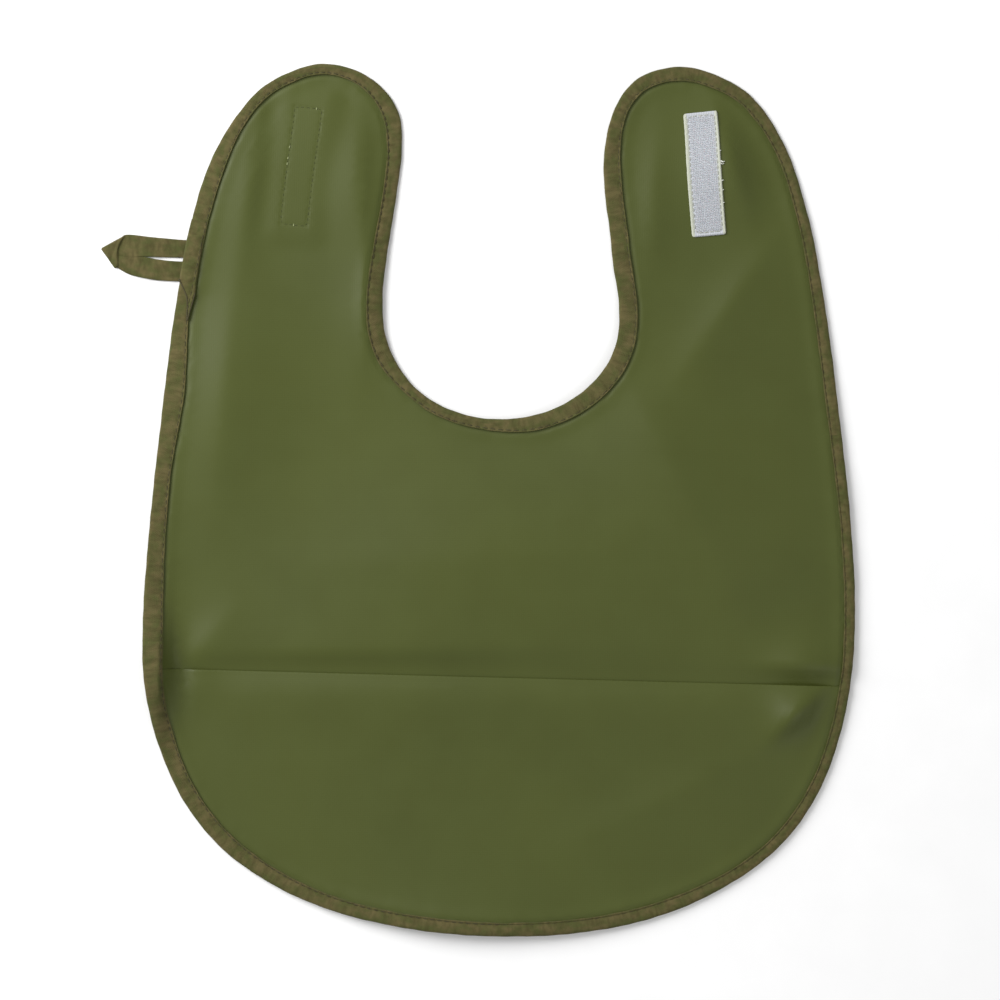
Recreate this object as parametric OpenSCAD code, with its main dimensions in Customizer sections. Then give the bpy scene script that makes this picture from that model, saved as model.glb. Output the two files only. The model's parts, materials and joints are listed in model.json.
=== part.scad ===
// Wipe-clean bib with a crumb-catcher pocket, laid flat with its front upwards.
// The mirror line of the bib is the Y axis, and its back rests on the plane z = 0.
// +Y runs from the pocket to the arm tips. Each arm folds across two lines.

/* [Bib] */
// Width over the binding, at the widest point above the pocket
bib_w = 312; // [280:1:340]
// Length over the binding, from the pocket's bottom to the arm tips
bib_l = 383; // [350:1:410]
// Thickness of the coated fabric
fabric_t = 0.5; // [0.4:0.05:0.8]

/* [Edge binding] */
// Width of the binding on each face
band_w = 7.2; // [5:0.1:9]
// Thickness of one folded side of the binding
tape_t = 0.4; // [0.3:0.05:0.6]
// Width of the row of thread that holds the binding
thread_w = 0.4; // [0.3:0.05:0.6]
// Distance from the binding's inner edge to its row of thread
seam_inset = 1.0; // [0.8:0.1:2]

/* [Pocket] */
// Height of the pocket's mouth above its fold line, on the mirror line
mouth_h = 72; // [60:1:80]
// Distance of the pocket's fold line below the middle of the bib
pocket_fold_y = 150; // [140:1:155]
// Slope of the pocket's mouth
mouth_slope = -1.5; // [-2:0.5:2]

/* [Arms] */
// Distance of each arm's first fold line from the mirror line, at the arm's middle
fold_x = 95; // [90:1:100]
// Distance of the first fold line above the middle of the bib
fold_y = 38; // [38:1:42]
// Tilt of the fold lines, so that the folded arms lean towards each other
fold_tilt = 8; // [0:1:9]
// Distance between the two fold lines of an arm
fold_step = 31; // [28:1:32]

/* [Fastening strips] */
// Width of the hook strip and of the loop strip
strip_w = 15; // [14:0.5:18]
// Length of the strips
strip_l = 55; // [45:1:56]
// Thickness of the hook strip
hook_t = 1.5; // [1.2:0.1:1.8]
// Thickness of the loop strip
loop_t = 1.2; // [1:0.1:1.5]

/* [Hanging loop] */
// Width of the hanging loop's tape
hanger_w = 8.8; // [8:0.1:9]
// Thickness of the hanging loop's tape
hanger_t = 0.7; // [0.5:0.1:0.9]
// Reach of the loop from the bib's edge to its point
hanger_reach = 36; // [34:0.5:38]

/* [Hidden] */
// Half of the bib's edge for a bib 312 wide and 383 long, from the pocket's bottom round the arm to the neck
half_edge = [
    [0, -191.5], [34, -189.5], [66, -183.5], [95, -172], [120, -155], [138, -133],
    [149, -107.5], [155, -78], [156, -46], [154, -12], [150.5, 22], [146.5, 56],
    [142, 89], [136, 121], [126, 152.5], [109.5, 177.5], [91, 189], [75, 191.5],
    [58.5, 185.5], [48, 172], [44.5, 154], [46, 133], [49.5, 110], [52, 88],
    [50.5, 70], [43, 55], [31, 44], [16, 37.5], [0, 35.5]
];
drawn_w = 312;
drawn_l = 383;
curve_steps = 4;         // straight steps between two points of the edge
far = 400;               // longer than the bib
body_gap = 0.7;          // between the two sides of a fold line
skin_gap = 0.05;         // between sheets that lie on each other
wall_t = 0.4;            // tape round the raw edge
edge_clear = 0.1;        // from the raw edge to the tape round it
step_w = 0.6;            // sloping stretch where a sheet rises into the binding, drawn as a step
step_in = 0.3;           // from the binding's inner edge to that step
flap_clear = 0.4;        // round the pocket's moving mouth
thread_t = 0.12;         // thread that stands above the tape

edge_z = tape_t;                         // underside of the panel's edge, inside the binding
edge_top = edge_z + fabric_t;            // its top
fold_top = edge_top + tape_t;            // top of the binding
pocket_z = fabric_t + skin_gap;          // underside of the pocket
pocket_edge_top = edge_top + fabric_t;   // top of the pocket's edge, inside the binding
pocket_fold_top = pocket_edge_top + tape_t;
flap_z = fabric_t + 0.35;                // underside of the pocket's moving mouth
panel_step = band_w + step_in;           // inset of the panel's step
pocket_step = panel_step + step_w + 0.1; // inset of the pocket's step
flap_inset = panel_step + step_w + flap_clear;
mouth_y = mouth_h - pocket_fold_y;       // height of the mouth on the mirror line

hook_mid = [90, 143.5];                  // middle of the hook strip
hook_lean = 4;
loop_mid = [-86.5, 146];                 // middle of the loop strip
loop_lean = -6;
tip_end_y = 165;                         // where the rounded end of an arm begins
strip_r = 1.5;                           // corner radius of the strips
strip_seam = 1.6;                        // from a strip's edge to its stitching
strip_base_t = 0.5;                      // woven base of the hook strip
strip_clear = 0.3;                       // round the loop strip, under the raised fabric
cover_t = 0.6;                           // side of the raised fabric over the loop strip

hanger_root = [-139.3, 105.8];           // middle of the hanging loop at the bib's edge
edge_slope = 0.19;                       // how far the edge leans there, across for each mm up
hanger_z = 0.3;
hanger_gap = 0.5;                        // between the bib's edge and the loop's moving legs
hanger_slit = 1.6;                       // between the two legs at the edge

// ---- the edge of the bib, as a smooth closed curve ----

sized = [for (p = half_edge) [p[0] * bib_w / drawn_w, p[1] * bib_l / drawn_l]];
last = len(sized) - 1;
knots = concat(sized, [for (i = [last - 1:-1:1]) [-sized[i][0], sized[i][1]]]);

function knot(i) = knots[(i + len(knots)) % len(knots)];

// a point of the curve, t of the way from knot i to the next one
function on_curve(i, t) =
    let (a = knot(i - 1), b = knot(i), c = knot(i + 1), d = knot(i + 2))
    0.5 * (2 * b + (c - a) * t + (2 * a - 5 * b + 4 * c - d) * t * t
        + (3 * b - a - 3 * c + d) * t * t * t);

edge = [for (i = [0:len(knots) - 1]) for (k = [0:curve_steps - 1]) on_curve(i, k / curve_steps)];

// the direction into the bib, square to the edge at point i
function inward(i) =
    let (n = len(edge), run = edge[(i + 1) % n] - edge[(i + n - 1) % n])
    [-run[1], run[0]] / norm(run);

function inset_edge(d) = [for (i = [0:len(edge) - 1]) edge[i] + d * inward(i)];

module inside(d) {
    polygon(inset_edge(d));
}

module ring(outer, inner) {
    difference() {
        inside(outer);
        inside(inner);
    }
}

// ---- the stretches of the bib, as flat areas ----

module box_area(x0, x1, y0, y1) {
    translate([x0, y0]) square([x1 - x0, y1 - y0]);
}

module on_side(side) {
    mirror([side < 0 ? 1 : 0, 0]) children();
}

// the part of an arm from one distance past its first fold line to another
module arm_area(side, from, to) {
    on_side(side)
        translate([fold_x, fold_y])
            rotate(-fold_tilt)
                box_area(-fold_x + 8, fold_x, from, to);
}

module torso_area() {
    difference() {
        box_area(-far, far, -far, far);
        arm_area(1, -body_gap / 2, far);
        arm_area(-1, -body_gap / 2, far);
    }
}

module upper_arm_area(side) {
    arm_area(side, body_gap / 2, fold_step - body_gap / 2);
}

module tip_area(side) {
    arm_area(side, fold_step + body_gap / 2, far);
}

module below_mouth() {
    translate([0, mouth_y]) rotate(mouth_slope) box_area(-far, far, -far, 0);
}

module above_mouth() {
    translate([0, mouth_y]) rotate(mouth_slope) box_area(-far, far, 0, far);
}

// ---- sheets and tapes ----

module layer(z0, z1) {
    translate([0, 0, z0]) linear_extrude(z1 - z0) children();
}

// the outline from outer to inner, kept to the area given as children
module ring_in(outer, inner) {
    intersection() {
        ring(outer, inner);
        children();
    }
}

// a sheet that lies at z and rises by a step into the binding
module sheet(z, step, rise) {
    layer(z, z + fabric_t)
        intersection() {
            inside(step);
            children();
        }
    layer(z, rise + fabric_t) ring_in(step, step + step_w) children();
    layer(rise, rise + fabric_t) ring_in(wall_t + edge_clear, step + step_w) children();
}

module panel_sheet() {
    sheet(0, panel_step, edge_z) children();
}

// the binding: a fold below, a fold above and the tape round the raw edge
module binding(top) {
    layer(0, tape_t) ring_in(0, band_w) children();
    layer(top - tape_t, top) ring_in(0, band_w) children();
    layer(0, top) ring_in(0, wall_t) children();
}

module seam_thread(top) {
    layer(top, top + thread_t)
        ring_in(band_w - seam_inset - thread_w, band_w - seam_inset)
            children();
}

// ---- torso ----

module torso_panel() {
    color("#5A6133") panel_sheet() torso_area();
}

module neck_binding() {
    color("#62593A")
        binding(fold_top)
            intersection() {
                torso_area();
                box_area(-70, 70, 0, far);
            }
}

module side_binding(side) {
    color("#62593A")
        binding(fold_top)
            intersection() {
                torso_area();
                above_mouth();
                on_side(side) box_area(70, far, -far, far);
            }
}

module left_side_binding() {
    side_binding(-1);
}

module right_side_binding() {
    side_binding(1);
}

module corner_binding(side) {
    color("#62593A")
        binding(pocket_fold_top)
            intersection() {
                below_mouth();
                on_side(side) box_area(70, far, -far, far);
            }
}

module left_corner_binding() {
    corner_binding(-1);
}

module right_corner_binding() {
    corner_binding(1);
}

module bottom_binding() {
    color("#62593A") binding(pocket_fold_top) box_area(-70, 70, -far, mouth_y);
}

module torso_seam_thread() {
    color("#3E3A22") {
        seam_thread(fold_top)
            intersection() {
                torso_area();
                above_mouth();
            }
        seam_thread(pocket_fold_top) below_mouth();
    }
}

// ---- pocket ----

// the pocket below its fold line, and its two sides as far as they run inside the binding
module pocket_pouch() {
    pouch_top = -pocket_fold_y - body_gap / 2;
    color("#5C6435") {
        sheet(pocket_z, pocket_step, edge_top) box_area(-far, far, -far, pouch_top);
        layer(edge_top, pocket_edge_top) ring_in(wall_t + edge_clear, band_w) below_mouth();
    }
}

// the part of the pocket that lifts as the mouth opens
module pocket_mouth() {
    color("#5F6839")
        layer(flap_z, flap_z + fabric_t)
            intersection() {
                inside(flap_inset);
                below_mouth();
                box_area(-far, far, -pocket_fold_y + body_gap / 2, far);
            }
}

// ---- arms, between their two fold lines ----

module arm_panel(side) {
    color("#5A6133") panel_sheet() upper_arm_area(side);
}

module left_arm_panel() {
    arm_panel(-1);
}

module right_arm_panel() {
    arm_panel(1);
}

// the binding of an arm on the outer edge, or on the neck's edge
module arm_binding(side, x0, x1) {
    color("#62593A")
        binding(fold_top)
            intersection() {
                upper_arm_area(side);
                on_side(side) box_area(x0, x1, 0, far);
            }
}

module left_arm_outer_binding() {
    arm_binding(-1, fold_x, far);
}

module left_arm_neck_binding() {
    arm_binding(-1, 0, fold_x);
}

module right_arm_outer_binding() {
    arm_binding(1, fold_x, far);
}

module right_arm_neck_binding() {
    arm_binding(1, 0, fold_x);
}

module left_arm_seam_thread() {
    color("#3E3A22") seam_thread(fold_top) upper_arm_area(-1);
}

module right_arm_seam_thread() {
    color("#3E3A22") seam_thread(fold_top) upper_arm_area(1);
}

// ---- arm tips ----

module rounded_strip(w, l) {
    square([w - 2 * strip_r, l], center = true);
    square([w, l - 2 * strip_r], center = true);
    for (x = [-1, 1])
        for (y = [-1, 1])
            translate([x * (w / 2 - strip_r), y * (l / 2 - strip_r)])
                circle(r = strip_r, $fn = 32);
}

module at_strip(mid, lean) {
    translate(mid) rotate(lean) children();
}

module strip_area(grow) {
    square([strip_w + 2 * grow, strip_l + 2 * grow], center = true);
}

// the fabric rises over the loop strip that is sewn under it
module left_tip_panel() {
    cover_z = loop_t + skin_gap;
    color("#5A6133") {
        difference() {
            panel_sheet() tip_area(-1);
            layer(-1, cover_z + fabric_t + 1) at_strip(loop_mid, loop_lean) strip_area(strip_clear);
        }
        layer(0, cover_z + fabric_t)
            at_strip(loop_mid, loop_lean)
                difference() {
                    strip_area(strip_clear + cover_t);
                    strip_area(strip_clear);
                }
        layer(cover_z, cover_z + fabric_t)
            at_strip(loop_mid, loop_lean) strip_area(strip_clear + cover_t);
    }
}

module right_tip_panel() {
    color("#5A6133") panel_sheet() tip_area(1);
}

// the binding of a tip within one stretch of its width and height
module tip_binding(side, x0, x1, y0, y1) {
    color("#62593A")
        binding(fold_top)
            intersection() {
                tip_area(side);
                on_side(side) box_area(x0, x1, y0, y1);
            }
}

module left_tip_outer_binding() {
    tip_binding(-1, fold_x, far, 0, tip_end_y);
}

module left_tip_end_binding() {
    tip_binding(-1, 0, far, tip_end_y, far);
}

module left_tip_inner_binding() {
    tip_binding(-1, 0, fold_x, 0, tip_end_y);
}

module right_tip_outer_binding() {
    tip_binding(1, fold_x, far, 0, tip_end_y);
}

module right_tip_end_binding() {
    tip_binding(1, 0, far, tip_end_y, far);
}

module right_tip_inner_binding() {
    tip_binding(1, 0, fold_x, 0, tip_end_y);
}

module left_tip_seam_thread() {
    color("#3E3A22") seam_thread(fold_top) tip_area(-1);
}

module right_tip_seam_thread() {
    color("#3E3A22") seam_thread(fold_top) tip_area(1);
}

// the end of the binding tape, folded under at a slant and lapped over its beginning and the thread
module binding_end_fold() {
    lap_low = 91;
    lap_high = 97;
    lap_rise = 5;
    color("#62593A")
        layer(fold_top + thread_t, fold_top + thread_t + tape_t)
            ring_in(0, band_w)
                polygon([[-150, lap_low + lap_rise], [-128, lap_low - lap_rise],
                    [-128, lap_high - lap_rise], [-150, lap_high + lap_rise]]);
}

module loop_strip() {
    color("#8E9468") layer(0, loop_t) at_strip(loop_mid, loop_lean) rounded_strip(strip_w, strip_l);
}

module strip_frame() {
    difference() {
        strip_area(-strip_seam);
        strip_area(-strip_seam - thread_w);
    }
}

module loop_strip_stitching() {
    top = loop_t + skin_gap + fabric_t;
    color("#C8D0B0") layer(top, top + thread_t) at_strip(loop_mid, loop_lean) strip_frame();
}

// the woven base of the hook strip, with its field of hooks inside the sewn margin
module hook_strip() {
    color("#BABEC6") {
        layer(fabric_t, fabric_t + strip_base_t)
            at_strip(hook_mid, hook_lean) rounded_strip(strip_w, strip_l);
        layer(fabric_t + strip_base_t, fabric_t + hook_t)
            at_strip(hook_mid, hook_lean)
                strip_area(-strip_seam - thread_w);
    }
}

module hook_strip_stitching() {
    top = fabric_t + strip_base_t;
    color("#C9CCC0") layer(top, top + thread_t) at_strip(hook_mid, hook_lean) strip_frame();
}

// ---- hanging loop: one tape, folded to a point ----

// places a flat shape whose x runs out from the bib's edge and whose y runs up
module at_hanger() {
    translate(hanger_root) mirror([1, 0]) children();
}

// the end of a leg at height v, just clear of the leaning edge
function leg_end(v) = [hanger_gap - edge_slope * v, v];

crease = [17.5, 1];                                 // inner end of the slit
shoulder_high = [25, 11.2];                         // ends of the fold that makes the point
shoulder_low = [30.3, -3.6];
point_end = [hanger_reach, 4.9];

module hanger_upper_leg() {
    color("#675F3C")
        layer(hanger_z, hanger_z + hanger_t)
            at_hanger()
                polygon([leg_end(hanger_slit / 2), crease, shoulder_high,
                    leg_end(hanger_slit / 2 + hanger_w)]);
}

module hanger_lower_leg() {
    color("#675F3C")
        layer(hanger_z, hanger_z + hanger_t)
            at_hanger()
                polygon([leg_end(-hanger_slit / 2 - hanger_w), [20.3, -8.1], shoulder_low,
                    crease, leg_end(-hanger_slit / 2)]);
}

module hanger_mitre() {
    color("#6A6240")
        layer(hanger_z, hanger_z + 2 * hanger_t)
            at_hanger() polygon([crease, shoulder_low, point_end, shoulder_high]);
}

torso_panel();
neck_binding();
left_side_binding();
right_side_binding();
left_corner_binding();
right_corner_binding();
bottom_binding();
torso_seam_thread();
pocket_pouch();
pocket_mouth();
left_arm_panel();
left_arm_outer_binding();
left_arm_neck_binding();
left_arm_seam_thread();
right_arm_panel();
right_arm_outer_binding();
right_arm_neck_binding();
right_arm_seam_thread();
left_tip_panel();
left_tip_outer_binding();
left_tip_end_binding();
left_tip_inner_binding();
left_tip_seam_thread();
binding_end_fold();
loop_strip();
loop_strip_stitching();
right_tip_panel();
right_tip_outer_binding();
right_tip_end_binding();
right_tip_inner_binding();
right_tip_seam_thread();
hook_strip();
hook_strip_stitching();
hanger_upper_leg();
hanger_lower_leg();
hanger_mitre();
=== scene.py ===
import json
import math
import random

import bpy
import numpy as np
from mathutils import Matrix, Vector
from mathutils.geometry import delaunay_2d_cdt


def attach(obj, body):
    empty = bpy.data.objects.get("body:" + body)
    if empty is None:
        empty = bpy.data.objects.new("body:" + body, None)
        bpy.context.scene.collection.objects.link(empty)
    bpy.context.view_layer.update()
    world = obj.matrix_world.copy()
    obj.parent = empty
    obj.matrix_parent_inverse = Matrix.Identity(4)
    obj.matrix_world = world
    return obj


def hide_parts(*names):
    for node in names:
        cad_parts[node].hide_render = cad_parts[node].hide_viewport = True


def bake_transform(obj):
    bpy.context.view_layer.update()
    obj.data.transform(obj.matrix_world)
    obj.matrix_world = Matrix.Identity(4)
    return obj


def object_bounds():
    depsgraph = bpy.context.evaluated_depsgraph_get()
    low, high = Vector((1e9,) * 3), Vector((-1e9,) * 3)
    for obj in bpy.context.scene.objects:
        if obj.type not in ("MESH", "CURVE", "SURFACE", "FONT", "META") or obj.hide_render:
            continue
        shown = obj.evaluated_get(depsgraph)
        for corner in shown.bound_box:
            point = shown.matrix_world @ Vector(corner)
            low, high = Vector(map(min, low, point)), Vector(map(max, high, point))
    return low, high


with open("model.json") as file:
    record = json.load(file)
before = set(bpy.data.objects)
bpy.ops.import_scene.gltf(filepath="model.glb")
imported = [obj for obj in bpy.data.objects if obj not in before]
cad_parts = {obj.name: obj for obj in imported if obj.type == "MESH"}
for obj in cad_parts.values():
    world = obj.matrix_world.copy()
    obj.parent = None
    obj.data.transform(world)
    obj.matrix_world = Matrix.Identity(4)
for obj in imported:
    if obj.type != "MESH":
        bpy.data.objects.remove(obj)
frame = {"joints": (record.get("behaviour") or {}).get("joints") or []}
cad_low, cad_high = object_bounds()

# The shapes below are worked out in millimetres, in the frame of the CAD model, and become metres in mesh().
MM = 0.001

# ---------------------------------------------------------------- sizes

# Half of the bib's edge, for a bib 312 wide and 383 long: pocket's bottom, side, arm, neck.
HALF_EDGE = [
    (0, -191.5), (34, -189.5), (66, -183.5), (95, -172), (120, -155), (138, -133),
    (149, -107.5), (155, -78), (156, -46), (154, -12), (150.5, 22), (146.5, 56),
    (142, 89), (136, 121), (126, 152.5), (109.5, 177.5), (91, 189), (75, 191.5),
    (58.5, 185.5), (48, 172), (44.5, 154), (46, 133), (49.5, 110), (52, 88),
    (50.5, 70), (43, 55), (31, 44), (16, 37.5), (0, 35.5),
]
DRAWN_WIDTH, DRAWN_LENGTH = 312, 383
EDGE_POINTS = 1800      # points that the whole edge is worked out at

FABRIC = 0.5            # thickness of the coated fabric
TAPE = 0.42             # thickness of one folded side of the binding
LIP = 0.7               # from the binding's stitches to its inner edge
LIP_TOP = 0.6 * LIP     # from the stitches to the top of that soft edge
MID_TAPE = 3.0          # from the bib's edge to about the middle of the binding
PITCH = 3.2             # length of one stitch with its gap
HOLE = 0.3              # from the needle's hole to either end of a stitch
THREAD = 0.18           # radius of the thread
STRIP_WIDTH, STRIP_LENGTH = 15.0, 55.0
STRIP_SEAM = 1.6        # from a strip's edge to its stitches
STRIP_PITCH = 2.5
LOOP_BASE, LOOP_STRIP = 0.45, 1.2     # woven base of the loop strip, and the whole strip
HOOK_BASE, HOOK_TALL = 0.8, 0.65      # woven base of the hook strip, and its hooks over it
STRIP_HALF = np.array([STRIP_WIDTH, STRIP_LENGTH]) / 2
FRAME_HALF = STRIP_HALF - STRIP_SEAM  # half width and half length of a strip's stitched frame

# Distance from the bib's edge to the binding's stitches, by distance along the edge from the pocket's bottom
SEAMS = [
    (0, 5.4), (60, 5.3), (130, 4.2), (200, 3.9), (280, 3.9), (350, 4.6), (440, 4.1), (510, 5.5),
    (545, 5.1), (590, 6.9), (665, 7.3), (700, 6.1), (735, 3.9), (760, 3.8), (785, 6.4), (860, 5.2),
    (885, 6.1), (930, 3.8), (965, 3.9), (1005, 6.5), (1040, 6.6), (1064, 5.7), (1100, 8.2), (1141, 6.1),
    (1160, 6.6), (1210, 8.1), (1245, 6.8), (1310, 6.4), (1380, 5.5),
]
# Where the fabric lies a little off its even shape: x, y, reach across, reach along, shift in x, shift in y
SHIFTS = [
    (0, -100, 400, 52, -1.25, 0), (45, -190, 40, 30, 0, -0.6), (-60, -188, 50, 30, 0, 0.9),
    (0, 64, 75, 17, 1.1, 0), (52, 104, 15, 13, -0.9, 0), (0, 172, 150, 24, 1.5, 0),
    (48, 165, 16, 22, 0.7, -0.3), (-46, 170, 15, 15, 1.0, 0.3), (78, 190, 32, 20, 0, -1.3),
]

# Points of the fabric: their distances at its edge, in rings beside the binding, and in the even grid inside
OUTLINE_STEP, RING_STEP, GRID_STEP = 3.0, 2.4, 3.2
RINGS = (3.2, 5.2, 6.3, 7.4, 8.5, 9.6, 10.8, 12.4, 14.4)
GRID_INSET = 16.4       # where the grid begins
FRAME_GAP = 2.6         # between the grid and a strip's stitched frame
CUT_GAP = 1.0           # between all points and the cuts between the zones
MOUTH_STEP = 2.6        # distance of the points along the pocket's mouth
SECTIONS = 4            # the binding's sections for each of its stitches

JOINTS = {j["name"]: j for j in frame["joints"]}
ROOT_CUT = -2.5         # where the torso's pieces end and the arm's begin
TIP_CUT = 29.5          # where the arm's pieces end and the tip's begin


# ---------------------------------------------------------------- numbers

def smooth(low, high, value):
    t = np.clip((np.asarray(value, float) - low) / (high - low), 0, 1)
    return t * t * (3 - 2 * t)


def bell(value, width):
    return np.exp(-(np.asarray(value, float) / width) ** 2)


def rounded(share):
    """A quarter of a circle: 0 at 0, steep at first, and 1 from 1 on."""
    return np.sqrt(1 - (1 - np.clip(share, 0, 1)) ** 2)


def crease(value):
    """1 at 0 and falling to 0 beyond 1, with a sharper top than a bell."""
    return np.exp(-(np.abs(value) + 0.02) ** 1.45)


def ripple(length, waves, seed):
    """A smooth, closed, uneven wave along a path of that length, from -1 to 1; waves are its wavelengths."""
    rng = random.Random(seed)
    parts = [(round(length / w), rng.uniform(0, math.tau), rng.uniform(0.6, 1.0)) for w in waves]
    total = sum(p[2] for p in parts)

    def at(u):
        return sum(a * np.sin(math.tau * n * u / length + f) for n, f, a in parts) / total

    return at


def turned(points, angle):
    """Flat points turned anticlockwise round the origin."""
    c, s = math.cos(angle), math.sin(angle)
    x, y = points[..., 0], points[..., 1]
    return np.stack([x * c - y * s, x * s + y * c], -1)


# ---------------------------------------------------------------- the bib's edge

def spline(a, b, c, d, t):
    """A point between b and c on the smooth curve through four points; t runs from 0 at b to 1 at c."""
    return 0.5 * (2 * b + (c - a) * t + (2 * a - 5 * b + 4 * c - d) * t**2 + (3 * b - a - 3 * c + d) * t**3)


def closed_curve(points, steps):
    """A smooth closed curve through the points, with that many steps from one to the next."""
    p = np.array(points, float)
    a, b, c, d = (np.roll(p, k, 0)[:, None, :] for k in (1, 0, -1, -2))
    return spline(a, b, c, d, (np.arange(steps) / steps)[None, :, None]).reshape(-1, 2)


def open_curve(points, count):
    """A smooth open curve of that many points through the given ones."""
    p = np.array(points, float)
    p = np.vstack([2 * p[0] - p[1], p, 2 * p[-1] - p[-2]])
    t = np.linspace(0, len(p) - 3, count)
    k = np.minimum(t.astype(int), len(p) - 4)
    return spline(*(p[k + n] for n in range(4)), (t - k)[:, None])


def even(curve, count):
    """The closed curve with its points at even distances, and its length."""
    path = np.vstack([curve, curve[:1]])
    run = np.concatenate([[0], np.cumsum(np.linalg.norm(np.diff(path, axis=0), axis=1))])
    at = np.linspace(0, run[-1], count, endpoint=False)
    return np.stack([np.interp(at, run, path[:, k]) for k in (0, 1)], 1), run[-1]


def make_edge():
    """The bib's edge from its half, at the size of the CAD model, and its length."""
    sx = cad_high.x / MM / (DRAWN_WIDTH / 2)
    sy = (cad_high.y - cad_low.y) / MM / DRAWN_LENGTH
    half = [(x * sx, y * sy) for x, y in HALF_EDGE]
    curve = closed_curve(half + [(-x, y) for x, y in half[-2:0:-1]], 24)
    return even(curve, EDGE_POINTS)


EDGE, AROUND = make_edge()
STITCHES = int(round(AROUND / PITCH))
RUN = np.arange(len(EDGE)) * AROUND / len(EDGE)
AHEAD = np.roll(EDGE, -2, 0) - np.roll(EDGE, 2, 0)
INWARD = np.stack([-AHEAD[:, 1], AHEAD[:, 0]], 1) / np.linalg.norm(AHEAD, axis=1)[:, None]


def edge_point(u, d):
    """The point at distance u along the edge and d inside it."""
    u = np.asarray(u, float) % AROUND
    p, n = (np.stack([np.interp(u, RUN, v[:, k], period=AROUND) for k in (0, 1)], -1) for v in (EDGE, INWARD))
    n = n / np.linalg.norm(n, axis=-1, keepdims=True)
    return p + n * np.asarray(d, float)[..., None]


def seam_at(u):
    """Distance from the bib's edge to the stitches of the binding."""
    at, width = (np.array(v, float) for v in zip(*SEAMS))
    at, width = np.append(at, AROUND), np.append(width, width[0])
    u = np.asarray(u, float) % AROUND
    k = np.clip(np.searchsorted(at, u, "right") - 1, 0, len(at) - 2)
    return width[k] + (width[k + 1] - width[k]) * smooth(0, 1, (u - at[k]) / (at[k + 1] - at[k]))


def to_edge(points):
    """Where each point is, as distance along the edge and distance inside it."""
    points = np.asarray(points, float)
    u, d = np.empty(len(points)), np.empty(len(points))
    for k in range(0, len(points), 2000):
        part = points[k : k + 2000]
        gap = ((part[:, None, :] - EDGE[None]) ** 2).sum(2)
        near = gap.argmin(1)
        u[k : k + 2000] = RUN[near]
        d[k : k + 2000] = ((part - EDGE[near]) * INWARD[near]).sum(1)
    return u, d


# ---------------------------------------------------------------- folds of the arms

def joint_line(name):
    """A joint's point, the flat direction across its line, and its axis."""
    joint = JOINTS[name]
    axis = Vector(joint["axis"]).normalized()
    across = Vector((0, 0, 1)).cross(axis)
    return np.array(joint["pos_m"]) / MM, np.array(across), np.array(axis)


def arm_distance(points):
    """How far each point is past the first fold line of its own arm; the torso's points are below 0."""
    points = np.asarray(points, float)
    s = np.empty(len(points))
    for side, chosen in (("left", points[:, 0] < 0), ("right", points[:, 0] >= 0)):
        at, across, _ = joint_line(f"{side}_arm_fold")
        s[chosen] = (points[chosen] - at[:2]) @ across[:2]
    return s


ZONES = ["torso", "left_arm", "right_arm", "left_tip", "right_tip"]


def zone_of(points):
    """The zone that each point lies in, as its place in ZONES."""
    points = np.asarray(points, float)
    s, right = arm_distance(points), (points[:, 0] >= 0).astype(int)
    return np.where(s < ROOT_CUT, 0, np.where(s < TIP_CUT, 1 + right, 3 + right))


def bend(piece):
    """Bakes a piece's placement into its points."""
    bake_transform(piece)


def settle(piece, zone, slot, *nodes):
    """Attaches a torso piece to the torso's body, bakes any other piece's placement into its points, and
    hides the CAD nodes it stands for. The material slot is not used.
    """
    if zone == "torso":
        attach(piece, "torso")
    elif zone.endswith("arm"):
        bend(piece)
    else:
        bend(piece)
    if nodes:
        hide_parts(*nodes)


# ---------------------------------------------------------------- how the bib lies

# Soft folds of the fabric: middle x and y, half length, half width on either side, direction in degrees,
# height. The first side is on the left of the direction.
FOLDS = [
    (-121, 50, 50, 26, 26, 85, 5.7), (-110, 140, 32, 20, 7.5, 83, 3.3),       # left arm, its outer side
    (-62, 135, 34, 18, 9, 92, 3.6), (-60, 84, 26, 12, 9, 86, 2.4),          # left arm, its neck side
    (-18, -26, 66, 46, 50, 2, 5.3), (-50, -66, 85, 30, 5, 1, 2.0),          # below the neck, over the mouth
    (78, 8, 70, 50, 42, 116, 8.5), (100, 85, 38, 10, 18, 55, 2.8),          # right of the middle
    (101, 148, 24, 20, 8, 108, 5.0), (67, 130, 32, 8, 8, 88, 1.8),          # right arm
    (-157.5, -77, 27, 10, 9, 90, 6.2), (-148.5, -77, 24, 9, 4.4, 90, 6.7),  # left end of the mouth
    (-128, -62, 16, 9, 14, 53, 1.8), (-141, -72, 15, 5, 7, 90, -1.7),
    (135, -73.5, 17, 14, 4.5, -3, 5.2),                                     # right end of the mouth
    (-158, -30, 38, 10, 13, 88, 3.0), (160, 20, 120, 9, 9, 92, 2.0),        # outer edges, curling up
    (-20, -190, 62, 24, 10, 2, 4.5), (74, -131, 38, 12, 22, 26, 2.0),       # pocket
]
STRIPS = {
    "hook": (np.array([89.2, 143.5]), math.radians(5.3)),
    "loop": (np.array([-88.2, 146.6]), math.radians(-6)),
}
HANGER = np.array(JOINTS["hanger_swing"]["pos_m"][:2]) / MM     # the hanging loop's middle, on the edge
HANGER_U = to_edge(HANGER[None])[0][0]
MOUTH_Y, MOUTH_SLOPE = -78.0, math.tan(math.radians(-1.5))
MOUTH_DIP = 0.9         # how far the panel goes down at the pocket's mouth


def mouth(x):
    return MOUTH_Y + MOUTH_SLOPE * np.asarray(x, float)


def in_strip(points, name):
    """The points in a strip's own directions, from its middle."""
    mid, lean = STRIPS[name]
    return turned(np.asarray(points, float) - mid, -lean)


def from_strip(local, name):
    """Where points that are given in a strip's own directions lie."""
    mid, lean = STRIPS[name]
    return turned(np.asarray(local, float), lean) + mid


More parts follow.
